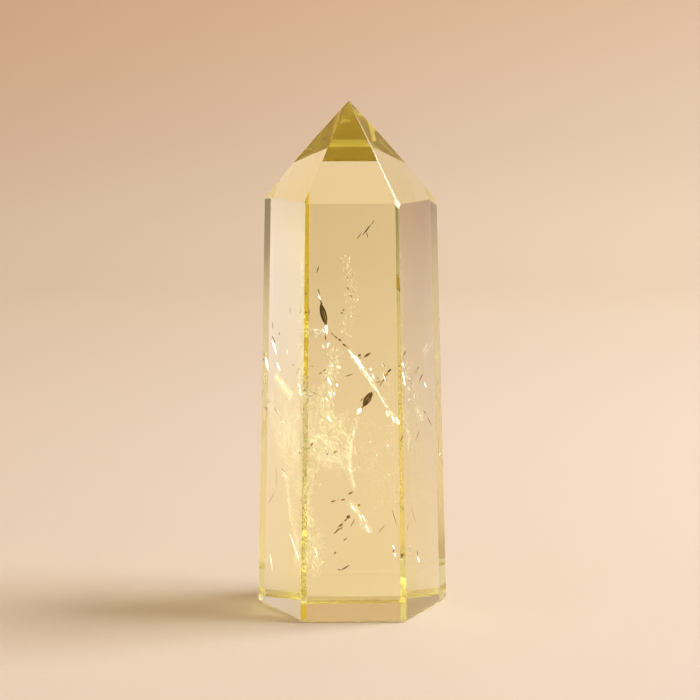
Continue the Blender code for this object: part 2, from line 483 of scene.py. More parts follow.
# Each flake: its finish, the points of the camera's 700 x 700 picture that it runs between
# (across, down), its width in mm, and how many mm it lies behind the polished side.
FLAKES = {
    # The main fracture, from the top down to the right.
    "upper_hairline": (DARK_FLAKE, (319.0, 265.5), (316.5, 273.5), 0.15, 2.9),
    "upper_splinter": (DARK_FLAKE, (317.5, 288.0), (320.0, 294.5), 0.15, 2.9),
    "upper_glint": (CLEAR, (318.0, 295.0), (321.0, 300.0), 0.30, 2.9),
    "upper_link": (DARK_FLAKE, (320.0, 299.5), (322.5, 304.5), 0.20, 2.9),
    "black_leaf": (DARK_FLAKE, (320.5, 302.5), (326.5, 326.0), 1.00, 3.0),
    "leaf_glint": (CLEAR, (325.5, 321.5), (327.0, 334.5), 0.42, 5.2),
    "leaf_shadow": (BROWN, (325.0, 334.5), (326.0, 341.0), 0.20, 5.2),
    "gold_dash_above": (GOLDEN, (330.5, 331.5), (334.0, 336.0), 0.25, 6.5),
    "brown_dash_1": (BROWN, (334.5, 336.0), (337.5, 338.5), 0.25, 7.2),
    "brown_dash_2": (BROWN, (338.5, 338.5), (341.0, 341.0), 0.35, 8.0),
    "brown_dash_3": (BROWN, (342.5, 343.5), (346.0, 346.5), 0.30, 9.0),
    "gold_dash_below": (GOLDEN, (346.0, 346.0), (349.0, 349.0), 0.20, 9.8),
    "main_streak_top": (CLEAR, (348.5, 350.0), (354.5, 357.5), 0.26, 10.8),
    "main_streak_left": (CLEAR, (352.0, 354.5), (361.5, 369.0), 0.42, 11.8),
    "main_streak_right": (CLEAR, (355.0, 355.5), (364.0, 370.5), 0.36, 11.6),
    "main_sliver_1": (CLEAR, (362.5, 369.0), (367.5, 376.0), 0.12, 12.4),
    "main_sliver_2": (CLEAR, (365.0, 371.5), (370.0, 378.0), 0.16, 12.5),
    "main_sliver_3": (CLEAR, (369.5, 376.0), (373.0, 383.0), 0.18, 12.6),
    "streak_fleck_1": (CLEAR, (370.0, 368.0), (371.0, 370.5), 0.30, 12.8),
    "streak_fleck_2": (CLEAR, (372.0, 373.5), (374.5, 379.0), 0.18, 12.8),
    "streak_fleck_3": (CLEAR, (367.0, 376.5), (370.5, 382.5), 0.16, 12.8),
    "streak_fleck_4": (CLEAR, (374.5, 386.5), (377.0, 391.0), 0.25, 13.0),
    "straight_streak": (CLEAR, (377.0, 389.5), (387.0, 409.0), 0.13, 13.4),
    "straight_streak_end": (CLEAR, (386.0, 410.5), (388.0, 416.5), 0.22, 13.8),
    "end_burst_left": (CLEAR, (392.0, 415.5), (394.0, 423.0), 0.20, 14.0),
    "end_burst_middle": (CLEAR, (394.5, 417.0), (397.0, 422.5), 0.20, 14.0),
    "end_burst_right": (CLEAR, (395.5, 416.5), (399.5, 424.5), 0.25, 14.0),
    # Dashes beside it.
    "side_dash_1": (DARK_FLAKE, (358.0, 356.5), (361.0, 354.0), 0.30, 11.0),
    "side_gold": (GOLDEN, (359.5, 358.5), (361.0, 357.0), 0.35, 11.0),
    "side_dash_2": (DARK_FLAKE, (363.5, 357.5), (371.0, 352.5), 0.35, 11.0),
    # The fracture that crosses it, from the top down to the left.
    "crossing_tip": (DARK_FLAKE, (387.5, 372.5), (391.5, 368.5), 0.30, 13.8),
    "crossing_gold": (GOLDEN, (385.5, 376.5), (388.0, 372.0), 0.35, 13.2),
    "crossing_hair_1": (BROWN, (379.0, 387.0), (386.0, 376.5), 0.15, 11.5),
    "crossing_hair_2": (BROWN, (375.0, 382.5), (382.0, 381.5), 0.15, 11.0),
    "crossing_speck": (BROWN, (377.0, 378.5), (378.5, 377.5), 0.20, 11.0),
    "second_leaf": (DARK_FLAKE, (372.0, 391.5), (363.0, 407.0), 1.10, 7.6),
    "second_leaf_rim_1": (GOLDEN, (360.0, 402.0), (363.5, 397.5), 0.25, 7.6),
    "second_leaf_rim_2": (GOLDEN, (372.0, 392.0), (373.5, 397.5), 0.20, 7.6),
    "second_leaf_rim_3": (GOLDEN, (364.0, 404.5), (361.0, 409.5), 0.30, 7.6),
    "second_leaf_glint": (CLEAR, (361.5, 407.5), (357.0, 414.0), 0.50, 8.0),
    # The feathery patch to the left.
    "feather_fleck_1": (CLEAR, (327.0, 377.0), (331.5, 385.0), 0.45, 9.0),
    "feather_fleck_2": (CLEAR, (328.5, 391.5), (332.0, 397.0), 0.40, 9.4),
    "feather_fleck_3": (CLEAR, (321.5, 397.0), (324.0, 401.0), 0.40, 9.6),
    "feather_fleck_4": (CLEAR, (325.0, 397.0), (328.0, 401.0), 0.30, 9.6),
    "feather_fleck_5": (CLEAR, (330.5, 365.0), (333.0, 366.5), 0.35, 9.0),
    "feather_fleck_6": (CLEAR, (338.0, 366.0), (340.0, 368.0), 0.40, 9.0),
    "feather_fleck_7": (CLEAR, (336.0, 383.5), (338.0, 386.5), 0.30, 9.0),
    "feather_fleck_8": (CLEAR, (327.0, 372.0), (331.0, 374.5), 0.25, 9.0),
    "feather_fleck_9": (CLEAR, (329.5, 342.5), (326.5, 347.5), 0.25, 8.6),
    "feather_fleck_10": (CLEAR, (322.5, 345.0), (324.0, 349.0), 0.25, 8.6),
    "feather_fleck_11": (CLEAR, (333.5, 392.5), (335.0, 395.0), 0.25, 9.4),
    "feather_arc": (CLEAR, (327.0, 415.5), (331.5, 422.5), 0.30, 10.0),
    "feather_brown_1": (BROWN, (319.0, 374.0), (322.0, 372.0), 0.14, 8.6),
    "feather_brown_2": (BROWN, (323.0, 371.0), (326.0, 369.0), 0.16, 8.6),
    "feather_brown_3": (BROWN, (310.0, 366.0), (314.0, 366.0), 0.12, 8.4),
    "thin_brown_arc": (BROWN, (344.5, 376.5), (353.5, 374.0), 0.15, 10.0),
    # The short dashes under the shoulder.
    "high_dash_1": (DARK_FLAKE, (362.5, 235.5), (371.0, 224.0), 0.20, 7.0),
    "high_dash_2": (BROWN, (357.0, 239.5), (361.5, 232.5), 0.12, 7.0),
    "high_dash_3": (DARK_FLAKE, (366.0, 231.0), (368.0, 238.0), 0.12, 7.0),
    "high_dash_4": (BROWN, (371.5, 225.5), (374.0, 219.5), 0.12, 7.0),
    # A chain of specks, deeper in.
    "chain_speck_1": (BROWN, (347.0, 277.0), (347.5, 279.0), 0.14, 13.0),
    "chain_speck_2": (BROWN, (347.5, 287.0), (348.5, 289.5), 0.20, 13.0),
    "chain_speck_3": (BROWN, (353.5, 291.0), (355.0, 292.5), 0.16, 13.0),
    "chain_speck_4": (BROWN, (349.5, 295.0), (352.5, 297.0), 0.16, 13.0),
    "chain_speck_5": (DARK_FLAKE, (343.0, 311.0), (344.0, 309.0), 0.20, 13.0),
    "chain_speck_6": (DARK_FLAKE, (341.0, 314.0), (342.5, 312.0), 0.20, 13.0),
    "chain_fleck_1": (CLEAR, (351.0, 314.5), (352.0, 317.0), 0.07, 13.0),
    "chain_fleck_2": (CLEAR, (359.5, 316.0), (357.5, 320.0), 0.07, 13.0),
    "chain_fleck_3": (CLEAR, (342.0, 319.0), (344.0, 324.5), 0.07, 13.0),
    "chain_fleck_4": (CLEAR, (339.0, 321.0), (340.0, 325.5), 0.07, 13.0),
    # The lower streak and what lies round it.
    "lower_streak_top": (CLEAR, (350.0, 502.5), (356.0, 513.0), 0.14, 9.2),
    "lower_streak_left": (CLEAR, (359.0, 514.0), (362.5, 521.5), 0.16, 9.4),
    "lower_streak_right": (CLEAR, (362.0, 514.5), (365.5, 522.0), 0.16, 9.4),
    "lower_streak_tail": (CLEAR, (365.5, 524.0), (369.0, 533.0), 0.34, 9.7),
    "lower_gold": (GOLDEN, (358.0, 506.5), (360.0, 504.0), 0.40, 9.0),
    "lower_blot": (DARK_FLAKE, (346.5, 518.5), (350.0, 515.5), 0.50, 8.8),
    "lower_needle_1": (DARK_FLAKE, (344.0, 521.5), (347.0, 519.0), 0.25, 8.8),
    "lower_needle_2": (BROWN, (338.0, 527.0), (343.0, 523.5), 0.30, 9.0),
    "lower_needle_3": (BROWN, (336.0, 530.5), (341.0, 528.0), 0.20, 9.0),
    "lower_needle_4": (BROWN, (333.5, 534.0), (338.5, 529.5), 0.25, 9.0),
    "lower_needle_5": (BROWN, (341.0, 529.5), (342.5, 526.5), 0.20, 9.0),
    "lower_hair_1": (BROWN, (350.0, 527.5), (355.0, 519.0), 0.15, 9.4),
    "lower_hair_2": (BROWN, (343.5, 541.0), (347.0, 537.5), 0.20, 9.4),
    "lower_hair_3": (BROWN, (333.5, 554.5), (336.5, 551.5), 0.20, 9.4),
    "hook_foot": (DARK_FLAKE, (337.5, 569.0), (341.0, 570.5), 0.15, 8.0),
    "hook_stem": (DARK_FLAKE, (340.5, 570.5), (350.0, 565.0), 0.20, 8.0),
    "hook_hair": (BROWN, (377.5, 534.0), (385.5, 524.0), 0.10, 8.0),
    "squiggle_top": (CLEAR, (393.0, 545.0), (394.0, 549.5), 0.20, 6.0),
    "squiggle_middle": (DARK_FLAKE, (394.0, 548.5), (393.0, 552.5), 0.20, 6.0),
    "squiggle_foot": (CLEAR, (394.0, 552.0), (395.5, 557.0), 0.20, 6.0),
    "aslant_dash_1": (BROWN, (307.5, 449.5), (309.5, 447.0), 0.25, 1.8),
    "aslant_dash_2": (BROWN, (310.0, 446.5), (313.0, 442.5), 0.25, 1.8),
    "aslant_dash_3": (BROWN, (305.5, 456.0), (307.5, 452.0), 0.20, 1.8),
    "aslant_glint": (CLEAR, (300.5, 459.5), (304.5, 460.5), 0.30, 1.2),
    "middle_dash_1": (BROWN, (326.5, 455.0), (329.0, 453.0), 0.25, 9.0),
    "middle_dash_2": (BROWN, (333.0, 453.5), (337.5, 450.5), 0.20, 9.0),
    "middle_brown_1": (BROWN, (348.0, 494.5), (353.0, 491.5), 0.30, 9.0),
    "middle_brown_2": (BROWN, (330.0, 502.0), (336.0, 500.5), 0.20, 9.0),
    "middle_brown_3": (BROWN, (340.5, 500.5), (345.5, 499.0), 0.25, 9.0),
    "right_fleck_1": (CLEAR, (387.0, 445.0), (389.0, 446.5), 0.14, 9.0),
    "right_fleck_2": (CLEAR, (369.5, 441.0), (370.5, 443.0), 0.10, 9.0),
    "right_fleck_3": (CLEAR, (376.0, 454.5), (377.5, 456.0), 0.12, 9.0),
    "band_glint": (CLEAR, (301.5, 412.0), (308.0, 416.0), 0.35, 1.0),
    "band_fleck": (CLEAR, (314.5, 547.0), (317.5, 560.0), 0.28, 2.2),
    # Behind the left side.
    "left_speck_1": (BROWN, (272.5, 321.0), (273.0, 329.5), 0.20, 4.0),
    "left_speck_2": (DARK_FLAKE, (279.0, 335.5), (280.0, 331.5), 0.20, 5.0),
    "left_speck_3": (DARK_FLAKE, (290.0, 307.0), (290.5, 313.0), 0.15, 6.0),
    "left_leaf": (DARK_FLAKE, (272.0, 335.5), (275.5, 342.5), 0.34, 4.1),
    "left_glint_1": (CLEAR, (272.0, 339.0), (277.0, 354.5), 0.65, 4.2),
    "left_glint_2": (CLEAR, (263.5, 356.0), (268.0, 370.0), 0.75, 1.3),
    "left_glint_2_edge": (CLEAR, (264.5, 361.0), (268.5, 370.0), 0.50, 1.8),
    "left_glint_3": (CLEAR, (277.0, 362.0), (280.5, 371.5), 0.55, 4.5),
    "left_fleck_1": (CLEAR, (286.5, 348.5), (288.0, 354.5), 0.12, 6.0),
    "left_streak": (CLEAR, (276.5, 377.5), (291.5, 396.5), 0.20, 4.6),
    "left_brown_1": (BROWN, (266.5, 404.5), (271.0, 400.0), 0.15, 3.0),
    "left_brown_2": (BROWN, (274.0, 407.0), (279.5, 414.5), 0.14, 4.0),
    "left_fleck_2": (CLEAR, (276.5, 409.0), (280.5, 415.0), 0.20, 4.2),
    "left_fleck_3": (CLEAR, (298.0, 384.0), (300.5, 387.0), 0.45, 1.3),
    "left_fleck_4": (CLEAR, (298.5, 389.0), (301.0, 392.0), 0.40, 1.3),
    "left_fleck_5": (CLEAR, (299.5, 393.5), (303.0, 396.0), 0.35, 1.3),
    "left_fleck_6": (CLEAR, (283.0, 421.0), (284.0, 423.0), 0.30, 5.0),
    "left_line": (CLEAR, (281.5, 467.0), (287.5, 479.5), 0.14, 5.2),
    "left_line_shadow": (DARK_FLAKE, (280.5, 467.0), (286.5, 474.0), 0.15, 5.1),
    "left_arc_top": (BROWN, (276.0, 465.5), (276.5, 489.5), 0.10, 4.0),
    "left_arc_foot": (BROWN, (276.0, 489.5), (268.0, 504.5), 0.12, 3.8),
    "left_low_streak": (CLEAR, (289.0, 531.5), (301.0, 565.0), 0.20, 5.0),
    "left_low_line": (CLEAR, (269.5, 551.5), (272.5, 571.5), 0.15, 3.4),
    # Behind the right side.
    "right_dot": (CLEAR, (402.0, 362.5), (403.5, 366.0), 0.45, 6.0),
    "right_pale": (CLEAR, (402.5, 371.5), (405.0, 385.5), 0.35, 6.0),
    "right_dash": (DARK_FLAKE, (419.0, 381.5), (423.0, 373.0), 0.30, 5.0),
    "right_glint": (CLEAR, (424.0, 381.5), (426.5, 388.0), 0.20, 5.0),
    "right_mark_1": (DARK_FLAKE, (423.5, 410.5), (426.0, 414.0), 0.20, 4.0),
    "right_mark_2": (DARK_FLAKE, (427.0, 416.0), (431.5, 425.5), 0.20, 4.0),
    "right_mark_3": (BROWN, (415.5, 440.5), (419.5, 430.0), 0.20, 5.0),
    "right_hair": (BROWN, (411.0, 506.0), (416.0, 523.5), 0.12, 6.0),
    "right_low_dark": (DARK_FLAKE, (417.5, 550.0), (417.5, 556.0), 0.30, 5.0),
    "right_low_glint": (CLEAR, (417.0, 555.0), (419.5, 562.5), 0.30, 5.0),
    "right_dot_low": (CLEAR, (439.5, 452.5), (442.0, 456.0), 0.45, 1.8),
    "right_stroke_1": (CLEAR, (424.5, 352.5), (429.0, 344.0), 0.07, 4.0),
    "right_stroke_2": (CLEAR, (428.0, 351.0), (433.5, 341.0), 0.08, 4.0),
    "right_stroke_3": (CLEAR, (432.5, 348.5), (436.5, 339.5), 0.06, 3.0),
}

# Seven fine parallel lines high on the left, each a little shorter than the last: where the
# first starts and how far it runs, in points of the picture, and their width and depth in mm.
SCORE_COUNT = 7
SCORE_START = (304.0, 328.0)
SCORE_RUN = (9.5, 12.5)
SCORE_STEP = 2.9
SCORE_SHORTENING = 0.09
SCORE_WIDTH = 0.15
SCORE_DEPTH = 3.5

# Each veil of threads or dust: its finish, the points of the picture that it runs through, its
# mean depth in mm, how broad it is in mm (across the line of sight, or into the stone along
# it), threads to the square millimetre down its middle, how long the longest are in mm, and
# how far they stray from its course.
ACROSS = "across"
INWARD = "inward"
VEILS = {
    "left_feather": (PALE, ((338, 350), (331, 372), (326, 396), (323, 424)),
        9.0, (ACROSS, 2.7), 80, 0.55, 0.55),
    "feather_core": (PALE, ((331, 364), (327, 384), (324, 404)), 9.4, (ACROSS, 1.4), 150, 0.45, 0.5),
    "crossing_wisp": (PALE, ((318, 398), (330, 418), (343, 436), (352, 458)),
        18.5, (ACROSS, 2.5), 46, 0.8, 0.3),
    "rising_wisp": (PALE, ((308, 474), (319, 448), (333, 428), (350, 412)),
        17.5, (ACROSS, 2.4), 46, 0.8, 0.35),
    "low_wisp": (PALE, ((306, 430), (320, 446), (340, 462), (352, 476)), 8.0, (ACROSS, 3.5), 45, 0.8, 0.35),
    "right_haze": (PALE, ((360, 418), (368, 446), (376, 478), (384, 508)), 17.0, (ACROSS, 5.4), 26, 0.3, 1.2),
    "veil_edge": (PALE, ((358, 415), (354, 424), (346, 444), (350, 472), (354, 490)),
        10.3, (ACROSS, 0.4), 60, 0.5, 0.35),
    "veil_inward": (PALE, ((357, 420), (352, 440), (349, 462), (354, 488)), 8.0, (INWARD, 7.0), 10, 0.7, 0.4),
    "main_inward": (PALE, ((349, 350), (362, 370), (376, 390), (398, 424)),
        13.5, (INWARD, 12.0), 12, 0.45, 0.6),
    "main_feather": (PALE, ((352, 355), (364, 371), (375, 386)), 12.4, (ACROSS, 1.0), 130, 0.5, 0.35),
    "end_feather": (PALE, ((388, 412), (399, 424)), 14.0, (ACROSS, 1.1), 150, 0.4, 0.4),
    "lower_feather": (PALE, ((350, 502), (360, 517), (369, 533)), 9.4, (ACROSS, 1.3), 95, 0.5, 0.3),
    "starburst": (PALE, ((300, 478), (305, 488), (310, 497)), 5.0, (ACROSS, 2.2), 210, 0.5, 0.8),
    "left_haze": (PALE, ((266, 392), (276, 420), (286, 450), (292, 480)), 4.6, (ACROSS, 4.0), 42, 0.7, 0.35),
    "left_soft": (PALE, ((275, 376), (283, 387), (292, 398)), 4.8, (ACROSS, 1.9), 260, 0.55, 0.3),
    "left_long_wisp": (PALE, ((281, 466), (288, 486), (290, 512), (301, 566)),
        5.3, (ACROSS, 1.1), 42, 0.7, 0.25),
    "band_wisp": (PALE, ((303, 566), (308, 552), (313, 538)), 5.0, (ACROSS, 1.3), 110, 0.6, 0.35),
    "outline_haze": (PALE, ((263, 352), (265, 366), (266, 382)), 2.4, (ACROSS, 0.8), 120, 0.4, 0.6),
    "right_strokes": (PALE, ((423, 354), (430, 342)), 3.9, (ACROSS, 2.0), 60, 0.7, 0.25),
    "right_side_haze": (PALE, ((404, 372), (408, 400), (412, 500)), 6.0, (ACROSS, 2.2), 20, 0.4, 0.9),
    "low_left_haze": (PALE, ((303, 500), (312, 524), (318, 548), (312, 575)),
        6.0, (ACROSS, 2.8), 32, 0.6, 0.5),
    "middle_glow": (PALE, ((311, 386), (315, 410), (321, 440), (331, 468)),
        12.0, (ACROSS, 5.0), 58, 0.5, 0.6),
    "band_glow": (PALE, ((305, 376), (305, 410), (304, 440), (304, 478)), 1.2, (ACROSS, 1.5), 290, 0.4, 0.6),
    "low_band_glow": (PALE, ((303, 482), (302, 520), (301, 560), (300, 592)),
        1.4, (ACROSS, 1.5), 130, 0.4, 0.6),
    "chain_haze": (PALE, ((346, 255), (351, 285), (352, 312), (344, 336)), 14.0, (ACROSS, 2.4), 20, 0.4, 0.5),
    "chain_dust": (DARK, ((347, 262), (351, 281), (350, 298), (343, 314)),
        13.0, (ACROSS, 1.4), 20, 0.18, 1.6),
    "main_dust": (DARK, ((330, 331), (340, 340), (350, 350)), 8.2, (ACROSS, 0.4), 16, 0.22, 0.8),
    "crossing_dust": (DARK, ((388, 373), (380, 386), (372, 394)), 8.7, (ACROSS, 0.6), 10, 0.25, 0.6),
    "needle_dust": (DARK, ((348, 517), (341, 526), (333, 535)), 8.9, (ACROSS, 1.0), 11, 0.3, 0.5),
    "band_dust": (DARK, ((401, 456), (401, 480), (401, 497)), 3.0, (ACROSS, 0.8), 12, 0.16, 1.6),
    "band_flecks": (PALE, ((400, 456), (400, 480), (400, 497)), 3.0, (ACROSS, 1.0), 24, 0.16, 1.6),
    "left_band_dust": (DARK, ((303, 568), (303, 580), (303, 592)), 3.0, (ACROSS, 1.0), 9, 0.2, 1.6),
    "brown_net": (DARK, ((328, 502), (340, 500), (355, 492)), 9.0, (ACROSS, 0.6), 5, 0.35, 0.5),
    "low_net": (DARK, ((352, 560), (362, 565), (376, 560)), 10.0, (ACROSS, 2.2), 2.2, 0.25, 0.8),
    "left_dust": (DARK, ((268, 300), (276, 330), (272, 352)), 4.4, (ACROSS, 1.4), 2.6, 0.2, 1.2),
}


# How far a dark or brown flake, which faces the camera, is turned towards where it would glint.
DARK_FLAKE_TURN = 0.35


class Sight:
    """Finds places in the stone behind points of the camera's picture."""

    def __init__(self, scene):
        stage = scene.citrine_stage
        self.index = scene.citrine_stone.refraction
        self.cover = scene.citrine_sealed.cover
        self.facets = broad_facets(NODE)
        self.eye = camera_place(stage)
        self.turn = camera_turn(stage).to_matrix()
        self.focal = stage.lens / SENSOR_WIDTH * PICTURE_SIDE
        lamp = Vector(stage.key_place)
        middle = Vector((0.0, 0.0, STONE_HEIGHT / 2))
        self.to_light = -self.enter(lamp, (middle - lamp).normalized())[1]

    def enter(self, origin, direction):
        """Where a line meets the stone, and its direction once the quartz has bent it."""
        meetings = []
        for point, outward in self.facets:
            closing = -direction.dot(outward)
            if closing > 0:
                meetings.append(((origin - point).dot(outward) / closing, closing, outward))
        distance, closing, outward = max(meetings, key=lambda meeting: meeting[0])
        steep = math.sqrt(1 - (1 - closing ** 2) / self.index ** 2)
        bent = direction / self.index + outward * (closing / self.index - steep)
        return origin + direction * distance, bent

    def look(self, point):
        """Where the sight line of a point of the picture enters the stone, and its way from there."""
        across, down = point
        ray = Vector((across - PICTURE_SIDE / 2, PICTURE_SIDE / 2 - down, -self.focal))
        return self.enter(self.eye, (self.turn @ ray).normalized())

    def behind(self, point, depth, margin):
        """The sealed place behind a point of the picture, and the line of sight to it."""
        entry, line = self.look(point)
        return self.kept_inside(entry + line * depth, self.cover + margin), line

    def level_with(self, first, outward, point, margin):
        """The sealed place behind a point of the picture, in the plane of a place before it."""
        entry, line = self.look(point)
        depth = (first - entry).dot(outward) / line.dot(outward)
        return self.kept_inside(entry + line * depth, self.cover + margin)

    def glint(self, line):
        """The way a mirror faces to throw the key light back along a line of sight."""
        return (self.to_light - line).normalized()

    def kept_inside(self, place, margin):
        """Move a place in until it has clear quartz over it on every side."""
        for point, outward in self.facets:
            short = margin - (point - place).dot(outward)
            if short > 0:
                place = place - outward * short
        return place

    def facing(self, line, finish, course):
        """The way a flake faces: to throw the key light back, or, if dark or brown, to be seen."""
        facing = self.glint(line)
        if finish in (DARK_FLAKE, BROWN):
            facing = facing * DARK_FLAKE_TURN - line
        return (facing - course * facing.dot(course)).normalized()


def guide_mesh(name, places, faces, attributes):
    """A mesh that only guides a tree: its places, and what the tree reads at each of them."""
    mesh = bpy.data.meshes.new(name)
    mesh.from_pydata(places, [], faces)
    for label, values in attributes.items():
        attribute = mesh.attributes.new(label, "FLOAT_VECTOR", "POINT")
        for item, value in zip(attribute.data, values):
            item.vector = value
    return mesh


def all_flakes():
    """The flakes of the list and the fine scored lines."""
    flakes = list(FLAKES.values())
    for step in range(SCORE_COUNT):
        start = (SCORE_START[0] + SCORE_STEP * step, SCORE_START[1])
        share = 1 - SCORE_SHORTENING * step
        end = (start[0] + SCORE_RUN[0] * share, start[1] + SCORE_RUN[1] * share)
        flakes.append((CLEAR, start, end, SCORE_WIDTH, SCORE_DEPTH))
    return flakes


def flake_guide(sight, finish, thickness):
    """One point for each flake of a finish, with its course, its facing and its size."""
    places = []
    courses = []
    facings = []
    sizes = []
    for kind, start, end, width, depth in all_flakes():
        if kind != finish:
            continue
        first, line = sight.behind(start, depth * MM, width * MM / 2)
        if kind == CLEAR:
            last = sight.level_with(first, sight.glint(line), end, width * MM / 2)
        else:
            last, line = sight.behind(end, depth * MM, width * MM / 2)
        course = (last - first).normalized()
        places.append((first + last) / 2)
        courses.append(course)
        facings.append(sight.facing(line, kind, course))
        sizes.append((width * MM, thickness, (last - first).length))
    return guide_mesh(finish, places, [], {"course": courses, "facing": facings, "size": sizes})


VEIL_COLUMNS = 5
CROWDING_AT_ENDS = 0.35


def veil_guide(sight, finish):
    """A sheet for each veil of a finish, thinning out towards its edges and its ends."""
    places = []
    faces = []
    courses = []
    facings = []
    threads = []
    for kind, path, depth, (way, breadth), crowding, length, stray in VEILS.values():
        if kind != finish:
            continue
        rows = [sight.behind(point, depth * MM, length * MM / 2) for point in path]
        for number, (middle, line) in enumerate(rows):
            before = rows[max(number - 1, 0)][0]
            after = rows[min(number + 1, len(rows) - 1)][0]
            course = (after - before).normalized()
            side = line if way == INWARD else course.cross(line).normalized()
            if kind == PALE:
                glint = sight.glint(line)
                course = (course - glint * course.dot(glint)).normalized()
            at_end = number in (0, len(rows) - 1)
            for column in range(VEIL_COLUMNS):
                aside = 2 * column / (VEIL_COLUMNS - 1) - 1
                place = middle + side * (aside * breadth * MM / 2)
                places.append(sight.kept_inside(place, sight.cover + length * MM / 2))
                courses.append(course)
                facings.append(sight.facing(line, kind, course))
                share = (1 - aside ** 2) * (CROWDING_AT_ENDS if at_end else 1.0)
                threads.append((length * MM, stray, crowding * share / MM ** 2))
        corner = len(places) - len(rows) * VEIL_COLUMNS
        for number in range(len(rows) - 1):
            for column in range(VEIL_COLUMNS - 1):
                low = corner + number * VEIL_COLUMNS + column
                faces.append((low, low + 1, low + 1 + VEIL_COLUMNS, low + VEIL_COLUMNS))
    return guide_mesh(finish, places, faces, {
        "course": courses, "facing": facings, "thread": threads,
    })


def new_tree(name, sockets):
    """A Geometry Nodes tree with a geometry input and named inputs for its sizes."""
    tree = bpy.data.node_groups.new(name, "GeometryNodeTree")
    tree.interface.new_socket("Geometry", in_out="OUTPUT", socket_type="NodeSocketGeometry")
    tree.interface.new_socket("Geometry", in_out="INPUT", socket_type="NodeSocketGeometry")
    for label, kind in sockets.items():
        tree.interface.new_socket(label, in_out="INPUT", socket_type="NodeSocket" + kind)
    return tree, add_node(tree, "NodeGroupInput")


def end_tree(tree, given, instances, offset=None):
    """Realize the instances, move the result if asked to, and give it its material."""
    shape = add_node(tree, "GeometryNodeRealizeInstances", links={"Geometry": instances})
    if offset:
        shape = add_node(tree, "GeometryNodeSetPosition", links={
            "Geometry": shape.outputs["Geometry"], "Offset": offset,
        })
    dressed = add_node(tree, "GeometryNodeSetMaterial", links={
        "Geometry": shape.outputs["Geometry"], "Material": given.outputs["Material"],
    })
    add_node(tree, "NodeGroupOutput", links={"Geometry": dressed.outputs["Geometry"]})
    return tree


# Every ball that a flake or a thread is drawn out of is one unit across.
BALL_RADIUS = 0.5
LENS_SEGMENTS = 8
LENS_RINGS = 12
RIPPLE_DETAIL = 3.0


def flake_tree():
    """Lay a thin crinkled lens, pointed at both ends, on each guide point."""
    tree, given = new_tree("sealed_flakes", {
        "Crinkle": "Float", "Crinkles per metre": "Float", "Material": "Material",
    })
    ball = add_node(tree, "GeometryNodeMeshUVSphere", inputs={
        "Segments": LENS_SEGMENTS, "Rings": LENS_RINGS, "Radius": BALL_RADIUS,
    })
    place = add_node(tree, "GeometryNodeInputPosition")
    axes = add_node(tree, "ShaderNodeSeparateXYZ", links={"Vector": place.outputs["Position"]})
    squared = add_node(tree, "ShaderNodeMath", {"operation": "MULTIPLY"}, links={
        0: axes.outputs["Z"], 1: axes.outputs["Z"],
    })
    # At height z a ball of radius r is sqrt(1 - (z / r) ** 2) of its full width. Narrowed by
    # that once more, it comes to a point at both ends.
    falling = -1 / BALL_RADIUS ** 2
    left = add_node(tree, "ShaderNodeMath", {"operation": "MULTIPLY_ADD"}, {1: falling, 2: 1.0}, {
        0: squared.outputs["Value"],
    })
    taper = add_node(tree, "ShaderNodeMath", {"operation": "SQRT"}, links={0: left.outputs["Value"]})
    narrow = add_node(tree, "ShaderNodeMath", {"operation": "MULTIPLY"}, links={
        0: axes.outputs["X"], 1: taper.outputs["Value"],
    })
    lens_place = add_node(tree, "ShaderNodeCombineXYZ", links={
        "X": narrow.outputs["Value"], "Y": axes.outputs["Y"], "Z": axes.outputs["Z"],
    })
    lens = add_node(tree, "GeometryNodeSetPosition", links={
        "Geometry": ball.outputs["Mesh"], "Position": lens_place.outputs["Vector"],
    })
    mapped = add_node(tree, "GeometryNodeStoreNamedAttribute", {
        "data_type": "FLOAT_VECTOR", "domain": "POINT",
    }, {"Name": "flake_place"}, {
        "Geometry": lens.outputs["Geometry"], "Value": place.outputs["Position"],
    })
    reads = {}
    for label in ("course", "facing", "size"):
        node = add_node(tree, "GeometryNodeInputNamedAttribute", {
            "data_type": "FLOAT_VECTOR",
        }, {"Name": label})
        reads[label] = node.outputs["Attribute"]
    turn = add_node(tree, "FunctionNodeAxesToRotation", {
        "primary_axis": "Z", "secondary_axis": "Y",
    }, links={"Primary Axis": reads["course"], "Secondary Axis": reads["facing"]})
    laid = add_node(tree, "GeometryNodeInstanceOnPoints", links={
        "Points": given.outputs["Geometry"], "Instance": mapped.outputs["Geometry"],
        "Rotation": turn.outputs["Rotation"], "Scale": reads["size"],
    })
    ripple = add_node(tree, "ShaderNodeTexNoise", inputs={"Detail": RIPPLE_DETAIL}, links={
        "Vector": place.outputs["Position"], "Scale": given.outputs["Crinkles per metre"],
    })
    centred = add_node(tree, "ShaderNodeVectorMath", {"operation": "SUBTRACT"}, {1: (0.5, 0.5, 0.5)}, {
        0: ripple.outputs["Color"],
    })
    crinkled = add_node(tree, "ShaderNodeVectorMath", {"operation": "SCALE"}, links={
        0: centred.outputs["Vector"], "Scale": given.outputs["Crinkle"],
    })
    return end_tree(tree, given, laid.outputs["Instances"], crinkled.outputs["Vector"])


THREAD_SEGMENTS = 4
THREAD_RINGS = 2
THREAD_FLATNESS = 0.15
SHORTEST_SHARE = 0.35

# The seed of each random draw that a thread takes.
DRAW_PLACE = 1
DRAW_COURSE = 2
DRAW_SIZE = 3
DRAW_FACING = 4


